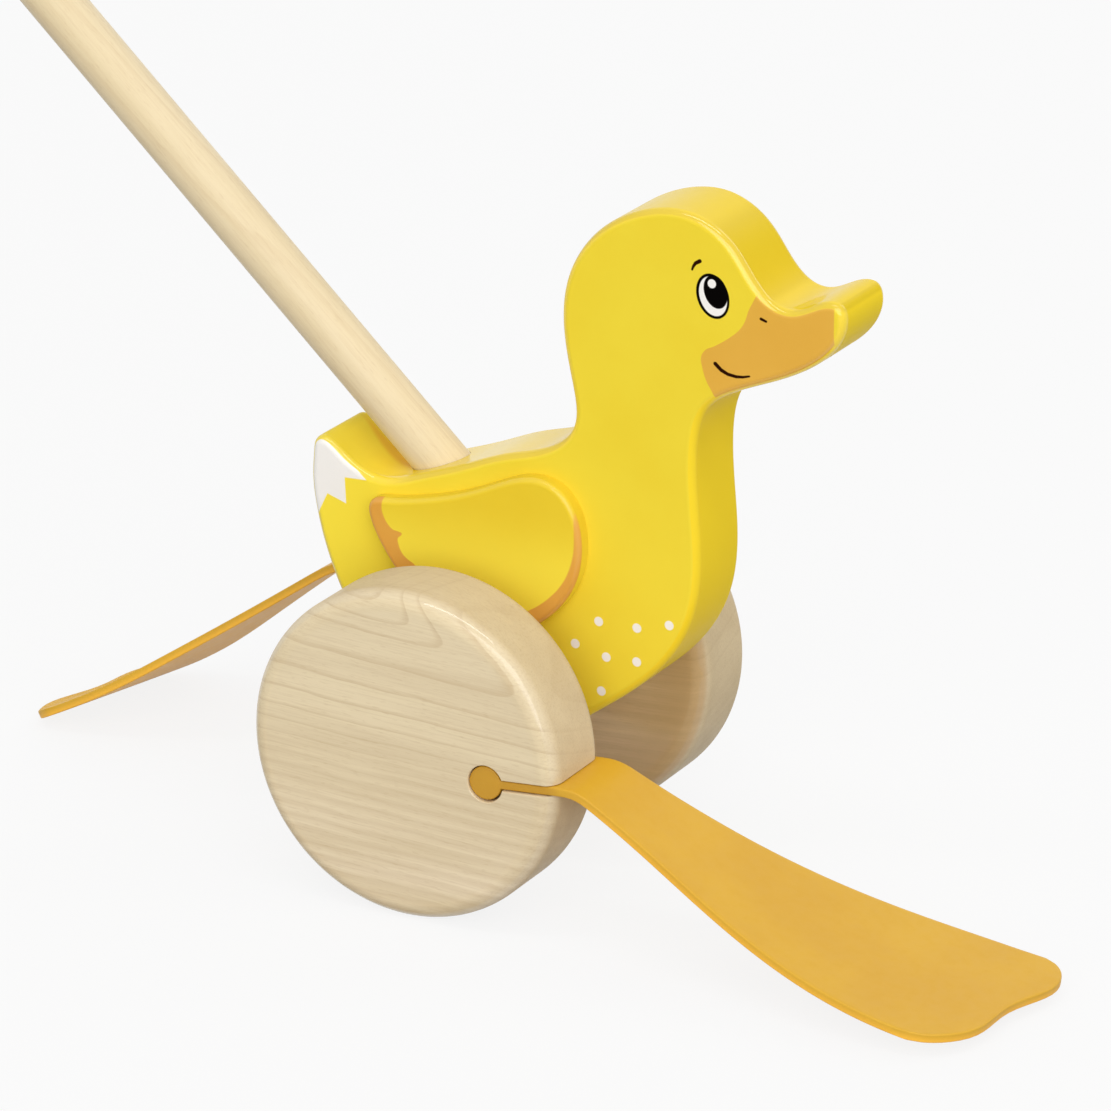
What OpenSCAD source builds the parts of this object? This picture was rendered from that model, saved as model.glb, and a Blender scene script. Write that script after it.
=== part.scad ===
// Duck push toy: a flat wooden duck on two wheels that share one axle, pushed by a stick.
// A rubber foot sits in a keyhole in each wheel and slaps the floor as the wheels turn.
// Millimetres. +X is forward, +Y is the duck's left, +Z is up.
// The origin is on the floor, under the middle of the axle.

/* [Duck] */
// Length of the duck from its tail to the tip of its beak
duck_len = 130.5; // [105:0.5:160]
// Height of the duck from its keel to its crown
duck_h = 132.5; // [115:0.5:160]
// Thickness of the board that the duck is cut from
board_t = 21; // [17:0.5:24]
// Rounding along the duck's edges
board_edge_r = 2; // [0.5:0.1:2.2]
// Thickness of each wing
wing_t = 4; // [2.5:0.1:6]
// Rounding along each wing's outer edge
wing_edge_r = 1.4; // [0.5:0.1:2]

/* [Wheels] */
// Diameter of each wheel
wheel_d = 76; // [66:0.5:90]
// Thickness of each wheel
wheel_t = 22; // [18:0.5:26]
// Rounding along each wheel's rim
wheel_edge_r = 4; // [1:0.1:6]
// Distance between the middles of the two wheels
track = 72; // [66:0.5:80]
// Diameter of the keyhole's round end
keyhole_d = 8.4; // [6:0.1:10]
// Distance of the keyhole's round end from the axle, along the slot
keyhole_reach = 20.8; // [15:0.1:26]
// Distance of the slot's middle line below the axle
keyhole_drop = 3.5; // [0:0.1:5]
// Tilt of the slot in the right wheel, in degrees upwards
right_turn = 3.8; // [-10:0.1:30]
// Tilt of the slot in the left wheel, in degrees upwards
left_turn = 21; // [-10:0.1:30]

/* [Axle] */
// Diameter of the axle
axle_d = 8; // [6:0.1:10]
// Running gap between the axle and its bore in the duck
axle_gap = 0.05; // [0.02:0.01:0.1]
// Glue gap round the axle in the wheels and spacers, and round the stick
glue_gap = 0.1; // [0.05:0.01:0.3]
// Wood left between the end of the axle and a wheel's outer face
axle_cover = 8; // [4:0.5:12]
// Diameter of the spacers between the duck and the wheels
spacer_d = 15; // [12:0.5:20]
// Play between a spacer and the duck's side
spacer_play = 0.4; // [0.3:0.05:1]

/* [Stick] */
// Diameter of the stick
stick_d = 12; // [9:0.5:14]
// Length of the stick
stick_len = 560; // [400:5:700]
// Lean of the stick, in degrees above level
stick_lean = 43.4; // [35:0.1:55]
// Depth of the stick's hole in the duck's back
socket_depth = 32; // [20:1:36]
// Diameter of the ball at the hand end
knob_d = 38; // [30:1:46]
// Depth of the stick's hole in the ball
knob_grip = 22; // [14:1:26]

/* [Feet] */
// Thickness of the rubber
foot_t = 2; // [1.2:0.1:3]
// Length of each foot from the wheel's rim to its toes
foot_len = 112.5; // [80:0.5:125]
// Length over which a foot widens to its full width
foot_flare = 97; // [50:1:110]
// Gap between a foot's side and the side of the duck as it passes
foot_pass_gap = 0.6; // [0.6:0.1:4]
// Set-back of a foot's root from the wheel's faces
foot_inset = 0.6; // [0.2:0.1:2]
// Gap between the rubber and the keyhole's walls
keyhole_gap = 0.2; // [0.15:0.05:0.5]
// Rounding of the toes' outer corners, measured along the foot
toe_round = 14; // [6:0.5:20]
// Extra reach of a foot's inner side, which its outer side lacks
toe_skew = 5; // [0:0.5:6]
// Depth of the notch between the toes
toe_notch = 3; // [0:0.5:6]
// Least height of the rubber over the floor
floor_gap = 0.6; // [0.4:0.1:3]

/* [How the feet hang] */
// Droop of the right foot along its middle, in degrees below level
right_droop = 27; // [10:1:40]
// Droop of the right foot's toes, in degrees below level
right_toe_droop = 6.5; // [0:0.5:35]
// Length over which the right foot bends out of its slot
right_bend = 9; // [4:1:40]
// Length of the right foot before its toes start to level out
right_straight = 23; // [10:1:70]
// Twist of the right foot at its toes, in degrees, inner side up
right_twist = 1; // [-8:0.5:8]
// Droop of the left foot along its middle, in degrees below level
left_droop = 36; // [10:1:40]
// Droop of the left foot's toes, in degrees below level
left_toe_droop = 26; // [0:1:35]
// Length over which the left foot bends out of its slot
left_bend = 30; // [4:1:40]
// Length of the left foot before its toes start to level out
left_straight = 70; // [10:1:70]
// Twist of the left foot at its toes, in degrees, inner side up
left_twist = 7; // [-8:0.5:8]

/* [Hidden] */
$fn = 96;

// Which way each side lies along Y
RIGHT = -1;
LEFT = 1;

// Points on each stretch of a drawn outline, and steps round an edge
stretch_steps = 4;
edge_steps = 4;
// Steps along and across a foot
foot_steps = 44;
foot_lanes = 12;
// How squarely the toes' corners turn, and the notch's share of a foot's width
toe_square = 2.55;
notch_share = 0.7;
// Passes that pull a drawn curve onto its points
curve_passes = 24;
// Cuts run this far past the faces that they open
over = 1;
// The duck is first cut this much too thick on each side, and then trimmed flat
trim = 0.05;

wheel_r = wheel_d / 2;
side_y = board_t / 2;
wheel_in_y = track / 2 - wheel_t / 2;
axle_end_y = track / 2 + wheel_t / 2 - axle_cover;
foot_root_w = wheel_t - 2 * foot_inset;
foot_toe_w = track - board_t - 2 * foot_pass_gap;
foot_reach = foot_len + toe_skew;
slot_w = foot_t + 2 * keyhole_gap;
bead_d = keyhole_d - 2 * keyhole_gap;
slot_run = sqrt(wheel_r * wheel_r - keyhole_drop * keyhole_drop) - keyhole_reach;
// Each foot's droop, its toes' droop, its bend, its straight length and its twist
right_hang = [right_droop, right_toe_droop, right_bend, right_straight, right_twist];
left_hang = [left_droop, left_toe_droop, left_bend, left_straight, left_twist];

// The duck's silhouette as [forward, up] from the axle, from the keel round by the chest
silhouette = [
    [0, -11.5], [13, -7.4], [25.4, 0.8], [36.6, 9], [46, 18.2], [52, 29.4], [53.7, 42],
    [52.9, 54.5], [52.4, 66.5], [54.6, 76.8], [61.5, 82.2], [70, 85.7], [78, 89.5],
    [84.4, 94.5], [87.5, 100.4], [86.5, 105.3], [81.8, 105.5], [75.6, 103], [69.7, 104.4],
    [65, 109.6], [59.6, 116.4], [50.5, 121], [39.2, 119.8], [28.3, 113.4], [21.4, 102.6],
    [20.2, 90.5], [22.2, 79], [22.8, 68.8], [15.8, 62.5], [5.5, 59.4], [-5, 55.3],
    [-15.4, 51.6], [-25, 49.2], [-32.4, 51.6], [-36.1, 54.4], [-38.9, 56.3], [-41.1, 56.3],
    [-42.5, 54.7], [-42.9, 51.4], [-43, 44.5], [-40.8, 33.2], [-36.6, 21.9], [-30.2, 10.8],
    [-21.2, 0.2], [-11, -8]
];
// The wing's outline on the same drawing, from its rear corner round by the underside
wing_outline = [
    [-26.3, 42.7], [-24.7, 37.8], [-21.3, 32.2], [-16, 25.8], [-8.4, 20], [1.5, 17.5],
    [11.5, 20], [20, 26], [25.5, 34], [27, 43], [25, 51], [20, 55.9], [13, 56.5],
    [5.5, 53.8], [-3.5, 50.1], [-13, 47.5], [-20.2, 46.2], [-24.8, 45.5]
];
// Where the stick's axis leaves the duck's back, on the same drawing
stick_mouth = [-16.5, 52.8];

function spread(values) = max(values) - min(values);
drawn_len = spread([for (p = silhouette) p.x]);
drawn_h = spread([for (p = silhouette) p.y]);
function to_size(p) = [p.x * duck_len / drawn_len, p.y * duck_h / drawn_h];
// A rounding gets smaller with a duck that is smaller than the drawing
function edge_fit(radius) = radius * min(1, duck_len / drawn_len, duck_h / drawn_h);

// A closed cubic curve through the points: its poles are pulled until the curve meets them
function turn_index(i, n) = (i % n + n) % n;
function pole_mean(poles, i) = let (n = len(poles))
    (poles[turn_index(i - 1, n)] + 4 * poles[i] + poles[turn_index(i + 1, n)]) / 6;
function pulled(poles, points, passes) = passes == 0 ? poles
    : pulled([for (i = [0 : len(points) - 1]) poles[i] + points[i] - pole_mean(poles, i)],
        points, passes - 1);
function on_curve(a, b, c, d, t) =
    (pow(1 - t, 3) * a + (3 * pow(t, 3) - 6 * t * t + 4) * b
    + (3 * t + 3 * t * t - 3 * pow(t, 3) + 1) * c + pow(t, 3) * d) / 6;
function smooth_loop(points) = let (n = len(points), poles = pulled(points, points, curve_passes))
    [for (i = [0 : n - 1], k = [0 : stretch_steps - 1])
        on_curve(poles[turn_index(i - 1, n)], poles[i], poles[turn_index(i + 1, n)],
            poles[turn_index(i + 2, n)], k / stretch_steps)];

// The loop moved inwards, square to itself
function inward(loop, i) =
    let (n = len(loop), d = loop[turn_index(i + 1, n)] - loop[turn_index(i - 1, n)])
    [-d.y, d.x] / norm(d);
function inset(loop, depth) = [for (i = [0 : len(loop) - 1]) loop[i] + depth * inward(loop, i)];

// Rows [along Y, inset] that round the edge from a flat side at y, towards the middle
function edge_rows(y, radius, way) = radius == 0 ? [[y, 0]]
    : [for (k = [0 : edge_steps]) let (a = 90 * k / edge_steps)
        [y + way * radius * (1 - cos(a)), radius * (1 - sin(a))]];

// A board cut to the loop, from low to high along Y, with its edges rounded
module cut_board(loop, low, high, low_r, high_r) {
    after = edge_rows(high, high_r, -1);
    rows = concat(edge_rows(low, low_r, 1), [for (k = [len(after) - 1 : -1 : 0]) after[k]]);
    n = len(loop);
    m = len(rows);
    points = [for (row = rows) for (p = inset(loop, row[1])) [p.x, row[0], p.y]];
    walls = [for (j = [0 : m - 2], i = [0 : n - 1]) let (k = (i + 1) % n)
        for (t = [[j * n + i, j * n + k, j * n + n + k], [j * n + i, j * n + n + k, j * n + n + i]]) t];
    near_cap = [for (i = [n - 1 : -1 : 0]) i];
    far_cap = [for (i = [0 : n - 1]) (m - 1) * n + i];
    polyhedron(points, concat([near_cap, far_cap], walls));
}

// What follows stands on the axle's line, or on the stick's
module at_axle() {
    translate([0, 0, wheel_r]) children();
}
module along_y(from, to, d) {
    translate([0, from, 0]) rotate([-90, 0, 0]) cylinder(d = d, h = to - from);
}
module at_stick() {
    mouth = to_size(stick_mouth);
    at_axle() translate([mouth.x, 0, mouth.y]) rotate([0, stick_lean - 90, 0])
        translate([0, 0, -socket_depth]) children();
}
// A wheel's own place: the left one is the right one turned round
module at_wheel(side) {
    at_axle() translate([0, side * track / 2, 0]) rotate([0, 0, side == RIGHT ? 0 : 180]) children();
}

// A flat board larger than the duck, drilled for the axle and the stick
module drilled_board() {
    reach = duck_len + duck_h;
    difference() {
        at_axle() cube([2 * reach, board_t, 2 * reach], center = true);
        at_axle() along_y(-board_t, board_t, axle_d + 2 * axle_gap);
        at_stick() cylinder(d = stick_d + 2 * glue_gap, h = 2 * socket_depth);
    }
}
module duck_body() {
    color([0.94, 0.83, 0.24]) intersection() {
        at_axle() cut_board(smooth_loop([for (p = silhouette) to_size(p)]),
            -side_y - trim, side_y + trim, edge_fit(board_edge_r), edge_fit(board_edge_r));
        drilled_board();
    }
}

module wing() {
    color([0.91, 0.78, 0.2]) at_axle() cut_board(smooth_loop([for (p = wing_outline) to_size(p)]),
        -side_y - wing_t, -side_y, edge_fit(wing_edge_r), 0);
}
module wing_right() {
    wing();
}
module wing_left() {
    mirror([0, 1, 0]) wing();
}

module axle() {
    color([0.85, 0.74, 0.56]) at_axle() along_y(-axle_end_y, axle_end_y, axle_d);
}

module spacer(side) {
    color([0.85, 0.74, 0.56]) at_wheel(side) translate([0, track / 2 - wheel_in_y, 0]) difference() {
        along_y(0, wheel_in_y - side_y - spacer_play, spacer_d);
        along_y(-over, wheel_in_y - side_y - spacer_play + over, axle_d + 2 * glue_gap);
    }
}
module spacer_right() {
    spacer(RIGHT);
}
module spacer_left() {
    spacer(LEFT);
}

// Half of a wheel's cross-section, out from the axle
module wheel_section() {
    flat = wheel_t - 2 * wheel_edge_r;
    translate([0, -wheel_t / 2]) square([wheel_r - wheel_edge_r, wheel_t]);
    translate([0, -flat / 2]) square([wheel_r, flat]);
    for (way = [-1, 1]) translate([wheel_r - wheel_edge_r, way * flat / 2]) circle(r = wheel_edge_r);
}
module wheel(side, turn) {
    color([0.87, 0.8, 0.67]) at_wheel(side) difference() {
        rotate([90, 0, 0]) rotate_extrude() wheel_section();
        along_y(track / 2 - axle_end_y, wheel_t, axle_d + 2 * glue_gap);
        rotate([0, -turn, 0]) translate([keyhole_reach, 0, -keyhole_drop]) {
            along_y(-wheel_t, wheel_t, keyhole_d);
            translate([0, -wheel_t, -slot_w / 2]) cube([wheel_r, 2 * wheel_t, slot_w]);
        }
    }
}
module wheel_right() {
    wheel(RIGHT, right_turn);
}
module wheel_left() {
    wheel(LEFT, left_turn);
}

// An even start and stop between 0 and 1
function ease(t) = let (c = min(max(t, 0), 1)) c * c * (3 - 2 * c);
// Slope of a foot, s along it from the wheel's rim
function foot_slope(s, turn, hang) = turn - (hang[0] + turn) * ease(s / hang[2])
    + (hang[0] - hang[1]) * ease((s - hang[3]) / (foot_len - hang[3]));
function foot_width(s) = foot_root_w + (foot_toe_w - foot_root_w) * ease(s / foot_flare);
// Length of a foot in a lane from -1 to 1 across it: rounded corners, and a notch between two toes
function corner_fall(v) = 1 - pow(max(0, 1 - pow(abs(v), toe_square)), 1 / toe_square);
function lane_len(v) = foot_len + toe_skew * v - toe_round * corner_fall(v)
    - toe_notch * pow(max(0, cos(90 * v / notch_share)), 2);
// Middle line of the rubber as [out, up] from the axle: straight in the slot, then hanging
function heading(a) = [cos(a), sin(a)];
function rim_point(turn) = (keyhole_reach + slot_run) * heading(turn) - keyhole_drop * heading(turn + 90);
function hang_line(turn, hang) = let (step = foot_reach / foot_steps)
    [for (i = 0, p = rim_point(turn); i <= foot_steps;
        p = p + step * heading(foot_slope((i + 0.5) * step, turn, hang)), i = i + 1) p];
// The rubber lies along the floor where it would otherwise dip below it
lying_z = floor_gap + foot_t / 2 - wheel_r;

module foot(side, turn, hang) {
    line = hang_line(turn, hang);
    step = foot_reach / foot_steps;
    out_at = [for (i = [0 : foot_steps]) [i * step, line[i].x]];
    up_at = [for (i = [0 : foot_steps]) [i * step, line[i].y]];
    rim = rim_point(turn);
    root = rim - slot_run * heading(turn);
    n = foot_lanes + 1;
    skin_points = [for (face = [1, -1], i = [0 : foot_steps], j = [0 : foot_lanes])
        let (
            v = sin(90 * (2 * j / foot_lanes - 1)),
            s = -slot_run + (slot_run + lane_len(v)) * i / foot_steps,
            slope = s < 0 ? turn : foot_slope(s, turn, hang),
            p = s < 0 ? rim + s * heading(turn) : [lookup(s, out_at), lookup(s, up_at)],
            y = v * foot_width(s) / 2,
            lift = y * tan(hang[4] * ease(s / foot_len)),
            q = p + (lift + face * foot_t / 2) * heading(slope + 90)
        )
        [q.x, y, max(q.y, lying_z + face * foot_t / 2)]];
    half = (foot_steps + 1) * n;
    cells = [for (i = [0 : foot_steps - 1], j = [0 : foot_lanes - 1]) i * n + j];
    top_faces = [for (c = cells) for (t = [[c, c + 1, c + n + 1], [c, c + n + 1, c + n]]) t];
    low_faces = [for (t = top_faces) [t[2], t[1], t[0]] + [half, half, half]];
    rim_walk = concat(
        [for (j = [0 : foot_lanes - 1]) j],
        [for (i = [0 : foot_steps - 1]) i * n + foot_lanes],
        [for (j = [foot_lanes : -1 : 1]) foot_steps * n + j],
        [for (i = [foot_steps : -1 : 1]) i * n]);
    edge_faces = [for (k = [0 : len(rim_walk) - 1])
        let (a = rim_walk[k], b = rim_walk[(k + 1) % len(rim_walk)])
        for (t = [[a, a + half, b + half], [a, b + half, b]]) t];
    color([0.88, 0.69, 0.26]) at_wheel(side) {
        polyhedron(skin_points, concat(top_faces, low_faces, edge_faces));
        translate([root.x, 0, root.y]) along_y(-foot_root_w / 2, foot_root_w / 2, bead_d);
    }
}
module foot_right() {
    foot(RIGHT, right_turn, right_hang);
}
module foot_left() {
    foot(LEFT, left_turn, left_hang);
}

module push_stick() {
    color([0.93, 0.86, 0.69]) at_stick() cylinder(d = stick_d, h = stick_len);
}
module stick_knob() {
    color([0.9, 0.8, 0.62]) at_stick() difference() {
        translate([0, 0, stick_len - knob_grip + knob_d / 2]) sphere(d = knob_d);
        translate([0, 0, stick_len - 2 * knob_grip])
            cylinder(d = stick_d + 2 * glue_gap, h = 2 * knob_grip);
    }
}

duck_body();
wing_right();
wing_left();
axle();
spacer_right();
spacer_left();
wheel_right();
wheel_left();
foot_right();
foot_left();
push_stick();
stick_knob();
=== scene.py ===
import math
from functools import reduce

import bpy
import numpy as np
from mathutils import Matrix


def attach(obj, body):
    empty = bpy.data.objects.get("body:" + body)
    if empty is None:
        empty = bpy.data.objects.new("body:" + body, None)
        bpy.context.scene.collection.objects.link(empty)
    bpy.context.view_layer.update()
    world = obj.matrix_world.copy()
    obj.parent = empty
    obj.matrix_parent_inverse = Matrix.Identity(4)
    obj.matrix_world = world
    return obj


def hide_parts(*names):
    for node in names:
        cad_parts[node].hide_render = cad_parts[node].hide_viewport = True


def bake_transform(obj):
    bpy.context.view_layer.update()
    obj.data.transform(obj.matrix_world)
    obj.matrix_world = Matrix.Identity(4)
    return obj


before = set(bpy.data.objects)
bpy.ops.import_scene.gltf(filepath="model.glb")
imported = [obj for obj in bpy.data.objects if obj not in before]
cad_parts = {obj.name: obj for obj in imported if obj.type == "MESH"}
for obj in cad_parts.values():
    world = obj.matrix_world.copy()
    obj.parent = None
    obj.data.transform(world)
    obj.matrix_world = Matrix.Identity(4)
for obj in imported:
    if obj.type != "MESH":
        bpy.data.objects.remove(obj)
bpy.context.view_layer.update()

# Sizes in millimetres, as in the part's source. Places are forward and up from the axle.
MM, PER_METRE = 0.001, 1000
RIGHT, LEFT = -1, 1
BOARD_T, BOARD_EDGE = 21.0, 2.0
SIDE = BOARD_T / 2
WING_T, WING_EDGE = 4.0, 1.4
WHEEL_R, WHEEL_T, WHEEL_EDGE, TRACK = 38.0, 22.0, 4.0, 72.0
HUB, WHEEL_HALF = TRACK / 2, WHEEL_T / 2
KEYHOLE_R, KEYHOLE_REACH, KEYHOLE_DROP, SLOT_HALF = 4.2, 20.8, 3.5, 1.2
RIGHT_TURN, LEFT_TURN = 3.8, 21.0
AXLE_R, AXLE_END, BORE_R, GLUE_R, BORE_SPARE = 4.0, 39.0, 4.05, 4.1, 3.0
SPACER_R, SPACER_LEN = 7.5, 14.1
STICK_R, STICK_LEN, STICK_LEAN, SOCKET_DEPTH, SOCKET_R = 6.0, 560.0, 43.4, 32.0, 6.1
KNOB_R, KNOB_GRIP = 18.99, 22.0
FOOT_HALF, FOOT_LEN, FOOT_FLARE, FOOT_ROOT_W, FOOT_TOE_W = 1.0, 112.5, 97.0, 20.8, 49.78
BEAD_R, BEAD_SET, BEAD_SWEEP = 3.86, 0.24, 0.92
TOE_ROUND, TOE_SKEW, TOE_NOTCH, TOE_SQUARE, NOTCH_SHARE, TOE_TRIM = 14.0, 5.0, 3.0, 2.55, 0.7, 0.3
# The height at which a foot lies along the floor, and how softly it meets it
LYING_UP, LYING_EASE = 1.6 - WHEEL_R, 0.6
# Droop, the toes' droop, the length that bends, the length before the toes level out, and the twist
RIGHT_HANG, LEFT_HANG = (27.0, 6.5, 9.0, 23.0, 1.0), (36.0, 26.0, 30.0, 70.0, 7.0)

# Roundings at the edges, the rubber's least half thickness there, and the trim that keeps a wheel's
# rim inside its solid
KEYHOLE_EDGE, BORE_EDGE, AXLE_EDGE, SPACER_EDGE, STICK_EDGE = 0.35, 0.2, 0.5, 0.6, 0.8
RUBBER_EDGE, RUBBER_THIN = 0.4, 0.02
RIM_TRIM = 0.001

# Points along curves, roundings and circles
DUCK_STEPS, WING_STEPS, EDGE_STEPS, CORNER_STEPS = 12, 16, 9, 6
FINE_ROUND, FULL_ROUND, PLAIN_ROUND = 128, 96, 64
RIM_POINTS, WALL_POINTS, HOLE_POINTS, KEYHOLE_STEPS, WHEEL_STEPS = 361, 14, 73, 4, 12
PATH_POINTS, LANES, BEAD_ROWS, ROOT_ROWS, WEB_ROWS, BALL_ROWS = 929, 27, 30, 40, 110, 64
# Degrees past which an edge stays sharp, and the size of the small flats that close the ball's ends
SHARP_ANGLE = 35
POLE_R, POLE_ANGLE = 0.05, 0.004

SILHOUETTE = [
    (0, -11.5), (13, -7.4), (25.4, 0.8), (36.6, 9), (46, 18.2), (52, 29.4), (53.7, 42),
    (52.9, 54.5), (52.4, 66.5), (54.6, 76.8), (61.5, 82.2), (70, 85.7), (78, 89.5),
    (84.4, 94.5), (87.5, 100.4), (86.5, 105.3), (81.8, 105.5), (75.6, 103), (69.7, 104.4),
    (65, 109.6), (59.6, 116.4), (50.5, 121), (39.2, 119.8), (28.3, 113.4), (21.4, 102.6),
    (20.2, 90.5), (22.2, 79), (22.8, 68.8), (15.8, 62.5), (5.5, 59.4), (-5, 55.3),
    (-15.4, 51.6), (-25, 49.2), (-32.4, 51.6), (-36.1, 54.4), (-38.9, 56.3), (-41.1, 56.3),
    (-42.5, 54.7), (-42.9, 51.4), (-43, 44.5), (-40.8, 33.2), (-36.6, 21.9), (-30.2, 10.8),
    (-21.2, 0.2), (-11, -8)]
WING_OUTLINE = [
    (-26.3, 42.7), (-24.7, 37.8), (-21.3, 32.2), (-16, 25.8), (-8.4, 20), (1.5, 17.5),
    (11.5, 20), (20, 26), (25.5, 34), (27, 43), (25, 51), (20, 55.9), (13, 56.5),
    (5.5, 53.8), (-3.5, 50.1), (-13, 47.5), (-20.2, 46.2), (-24.8, 45.5)]
STICK_MOUTH = (-16.5, 52.8)
stick_way = np.array([-math.cos(math.radians(STICK_LEAN)), 0, math.sin(math.radians(STICK_LEAN))])
stick_foot = np.array([STICK_MOUTH[0], 0, STICK_MOUTH[1]]) - SOCKET_DEPTH * stick_way


# Shapes

def put(name, points, *faces):
    """A mesh piece from millimetre points measured from the axle and from arrays of faces."""
    mesh = bpy.data.meshes.new(name)
    places = (points.reshape(-1, 3) + [0, 0, WHEEL_R]) * MM
    mesh.from_pydata(places.tolist(), [], sum((group.tolist() for group in faces), []))
    mesh.polygons.foreach_set("use_smooth", np.ones(len(mesh.polygons), bool))
    piece = bpy.data.objects.new(name, mesh)
    bpy.context.scene.collection.objects.link(piece)
    return piece


def quads(rows, columns, ring=False):
    """Four-sided faces over a grid whose columns go round, and whose rows do too in a ring."""
    r = np.arange(rows if ring else rows - 1)[:, None]
    c = np.arange(columns)[None, :]
    up, on = (r + 1) % rows, (c + 1) % columns
    corners = [r * columns + c, up * columns + c, up * columns + on, r * columns + on]
    return np.stack(corners, -1).reshape(-1, 4)


def capped(rows, columns):
    """The grid's faces with one flat many-sided face at each end."""
    first = np.arange(columns)
    return quads(rows, columns), np.stack([first, ((rows - 1) * columns + first)[::-1]])


def smooth_loop(points, steps):
    """A closed curve through the points: poles whose 1-4-1 means are the points, mixed by the four
    cubic B-spline weights at even steps along each stretch."""
    points = np.array(points, float)
    one = np.eye(len(points))
    poles = np.linalg.solve((4 * one + np.roll(one, 1, 0) + np.roll(one, -1, 0)) / 6, points)
    t = np.arange(steps)[None, :, None] / steps
    a, b, c, d = (np.roll(poles, k, 0)[:, None, :] for k in (1, 0, -1, -2))
    mixed = ((1 - t) ** 3 * a + (3 * t ** 3 - 6 * t ** 2 + 4) * b
             + (1 + 3 * t + 3 * t ** 2 - 3 * t ** 3) * c + t ** 3 * d)
    return mixed.reshape(-1, 2) / 6


def edge_inset(depth, radius):
    """How far a rounded edge stands back at a depth below the flat face: the radius less the
    circle's half width there."""
    return radius * (1 - np.sqrt(1 - (1 - np.clip(depth / radius, 0, 1)) ** 2))


def edge_depths(radius, steps):
    """Depths below a face at even angles round a quarter circle."""
    return radius * (1 - np.cos(np.linspace(0, np.pi / 2, steps + 1)))


def board(name, loop, low, high, low_edge, high_edge):
    """A board cut to a loop: each row is the loop moved inwards, square to itself, by a quarter
    circle's inset at its depth below the nearer side. A side with no edge stays square."""
    low_rows = edge_depths(low_edge, EDGE_STEPS) if low_edge else np.zeros(1)
    high_rows = edge_depths(high_edge, EDGE_STEPS) if high_edge else np.zeros(1)
    across = np.concatenate([low + low_rows, high - high_rows[::-1]])
    back = np.concatenate([edge_inset(low_rows, low_edge) if low_edge else low_rows,
                           edge_inset(high_rows, high_edge)[::-1] if high_edge else high_rows])
    ahead = np.roll(loop, -1, 0) - np.roll(loop, 1, 0)
    inward = np.stack([-ahead[:, 1], ahead[:, 0]], 1) / np.linalg.norm(ahead, axis=1, keepdims=True)
    flat = loop[None] + back[:, None, None] * inward[None]
    depth = np.broadcast_to(across[:, None], flat.shape[:2])
    grid = np.stack([flat[..., 0], depth, flat[..., 1]], -1)
    return put(name, grid, *capped(*grid.shape[:2]))


def turned(name, base, way, profile, around, ring=False):
    """A profile of (along, radius) turned about the line from base along way: each point goes
    round a circle."""
    way = np.array(way, float)
    side = np.cross(way, [0, 1, 0] if abs(way[1]) < 0.9 else [1, 0, 0])
    side /= np.linalg.norm(side)
    third = np.cross(way, side)
    angle = -np.linspace(0, 2 * np.pi, around, endpoint=False)
    out = np.cos(angle)[:, None] * side + np.sin(angle)[:, None] * third
    along, radius = np.array(profile, float).T
    grid = np.array(base, float) + along[:, None, None] * way + radius[:, None, None] * out[None]
    faces = (quads(len(along), around, True),) if ring else capped(len(along), around)
    return put(name, grid, *faces)


def soft_corner(along, radius, size, start):
    """A quarter circle of a profile round a corner at (along, radius), from start degrees."""
    a = np.radians(start) - np.linspace(0, np.pi / 2, CORNER_STEPS + 1)
    return np.stack([along + size * np.cos(a), radius + size * np.sin(a)], 1)


def rod_profile(length, radius, edge):
    """A rod's profile: a flat end, a rounded corner, the side, a rounded corner and a flat end."""
    return np.concatenate([soft_corner(edge, radius - edge, edge, 180),
                           soft_corner(length - edge, radius - edge, edge, 90)])


def drilled(piece, *tools):
    """The piece with each tool's volume taken away, and the tools removed."""
    for tool in tools:
        cut = piece.modifiers.new("drill", "BOOLEAN")
        cut.object, cut.operation, cut.solver = tool, "DIFFERENCE", "EXACT"
    bpy.context.view_layer.update()
    graph = bpy.context.evaluated_depsgraph_get()
    mesh = bpy.data.meshes.new_from_object(piece.evaluated_get(graph))
    piece.modifiers.clear()
    piece.data = mesh
    for tool in tools:
        bpy.data.objects.remove(tool)
    return piece


def crisp(piece):
    """Edges past the sharp angle stay sharp, and large faces keep their own direction up to their
    rounded edges."""
    piece.data.set_sharp_from_angle(angle=math.radians(SHARP_ANGLE))
    even = piece.modifiers.new("even", "WEIGHTED_NORMAL")
    even.keep_sharp = True
    return piece


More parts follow.
